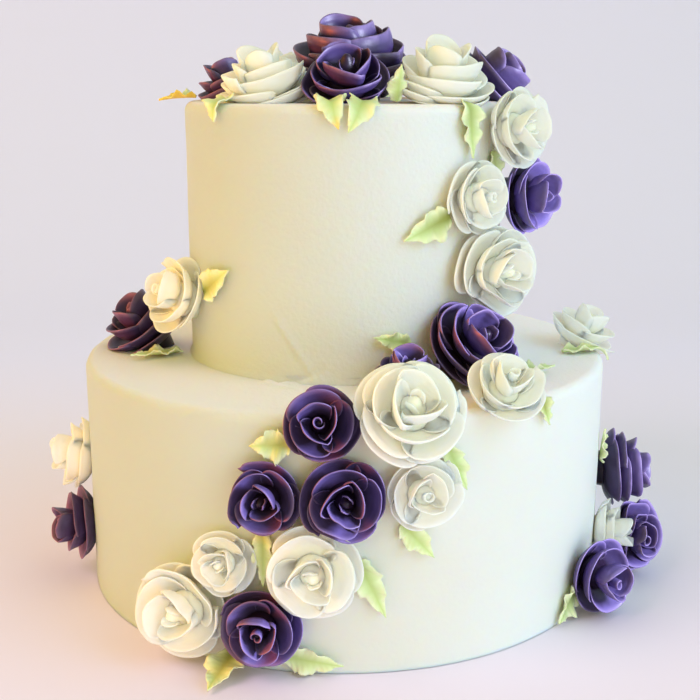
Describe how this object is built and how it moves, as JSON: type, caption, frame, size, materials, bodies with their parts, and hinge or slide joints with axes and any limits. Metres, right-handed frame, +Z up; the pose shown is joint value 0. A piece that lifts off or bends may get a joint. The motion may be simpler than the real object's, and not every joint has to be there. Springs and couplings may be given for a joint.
{
  "type": "tiered wedding cake",
  "caption": "Round tiered buttercream wedding cake with cascades of purple and white piped roses and pale green leaves.",
  "frame": {"origin": "centre of the lower tier's base, on the surface that the cake stands on", "axes": "+Z up, -Y the front with the cascade of roses, +X to the right seen from the front"},
  "size_m": [0.3179, 0.2887, 0.2837],
  "materials": {
    "icing": "smooth matt ivory buttercream with faint spatula marks",
    "purple_icing": "dark purple piped buttercream, soft satin, with paler petal rims",
    "white_icing": "white piped buttercream, soft satin",
    "green_icing": "pale green piped buttercream, with some yellow"
  },
  "bodies": {
    "root": {"tier_lower": "icing", "tier_upper": "icing", "front_rose_1": "purple_icing", "front_rose_2": "purple_icing", "front_rose_3": "purple_icing", "front_rose_4": "white_icing", "front_rose_5": "white_icing", "front_rose_6": "purple_icing", "front_rose_7": "white_icing", "front_rose_8": "white_icing", "rim_rose_1": "purple_icing", "rim_rose_2": "purple_icing", "rim_rose_3": "white_icing", "rim_rose_4": "white_icing", "rim_rose_5": "white_icing", "left_rose_1": "purple_icing", "left_rose_2": "white_icing", "left_rose_3": "white_icing", "left_rose_4": "purple_icing", "side_rose_1": "white_icing", "side_rose_2": "white_icing", "side_rose_3": "purple_icing", "side_rose_4": "white_icing", "top_rose_1": "purple_icing", "top_rose_2": "purple_icing", "top_rose_3": "white_icing", "top_rose_4": "purple_icing", "top_rose_5": "white_icing", "top_rose_6": "purple_icing", "top_rose_7": "white_icing", "top_rose_8": "purple_icing", "top_rose_9": "white_icing", "right_rose_1": "purple_icing", "right_rose_2": "purple_icing", "right_rose_3": "purple_icing", "right_rose_4": "white_icing", "top_leaf_1": "green_icing", "top_leaf_2": "green_icing", "top_leaf_3": "green_icing", "top_leaf_4": "green_icing", "top_leaf_5": "green_icing", "top_leaf_6": "green_icing", "top_leaf_7": "green_icing", "side_leaf_1": "green_icing", "side_leaf_2": "green_icing", "left_leaf_1": "green_icing", "left_leaf_2": "green_icing", "rim_leaf_1": "green_icing", "rim_leaf_2": "green_icing", "rim_leaf_3": "green_icing", "rim_leaf_4": "green_icing", "front_leaf_1": "green_icing", "front_leaf_2": "green_icing", "front_leaf_3": "green_icing", "front_leaf_4": "green_icing", "front_leaf_5": "green_icing", "front_leaf_6": "green_icing", "front_leaf_7": "green_icing", "right_leaf_1": "green_icing", "right_leaf_2": "green_icing"}
  },
  "joints": []
}
